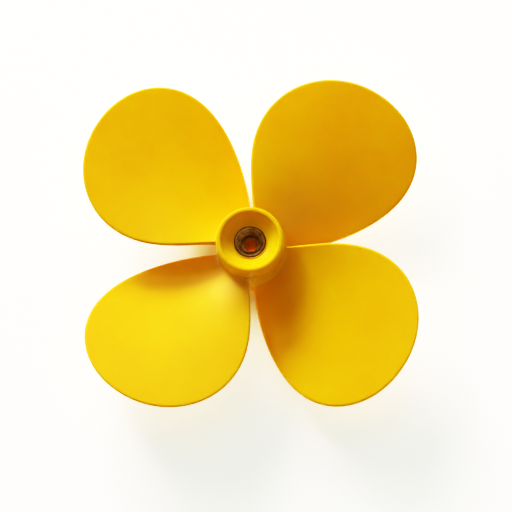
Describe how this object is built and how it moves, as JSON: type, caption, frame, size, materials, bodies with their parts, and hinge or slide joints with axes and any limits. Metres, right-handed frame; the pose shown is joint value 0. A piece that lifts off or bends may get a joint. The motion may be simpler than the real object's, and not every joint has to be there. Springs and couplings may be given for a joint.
{
  "type": "pedal boat propeller",
  "caption": "Broad-bladed plastic boat propeller with a dished hub, bolted-in blades, a rubber slip cushion and a hexagonal drive core with a brass thread insert.",
  "frame": {"origin": "on the shaft axis at the hub's rear face, which the propeller rests on", "axes": "+Z along the shaft axis towards the dished front face; the four blades stand on the diagonals between X and Y"},
  "size_m": [0.2532, 0.2532, 0.052],
  "materials": {
    "yellow_plastic": "satin moulded yellow plastic",
    "brass": "turned brass, slightly tarnished",
    "rubber": "black moulded rubber",
    "stainless": "plain stainless steel",
    "white_plastic": "natural white bearing plastic"
  },
  "bodies": {
    "drive": {"drive_core": "yellow_plastic", "thread_insert": "brass", "cushion_bush": "rubber"},
    "propeller": {"rear_hub": "yellow_plastic", "front_cap": "yellow_plastic", "blade_1": "yellow_plastic", "blade_2": "yellow_plastic", "blade_3": "yellow_plastic", "blade_4": "yellow_plastic", "clamp_screws": "stainless", "screw_washers": "stainless", "screw_inserts": "brass", "thrust_washer": "white_plastic", "retaining_ring": "stainless"}
  },
  "joints": [
    {"name": "overload_slip", "type": "hinge", "parent": "drive", "child": "propeller", "pos_m": [0, 0, 0], "axis": [0, 0, 1], "continuous": true}
  ]
}
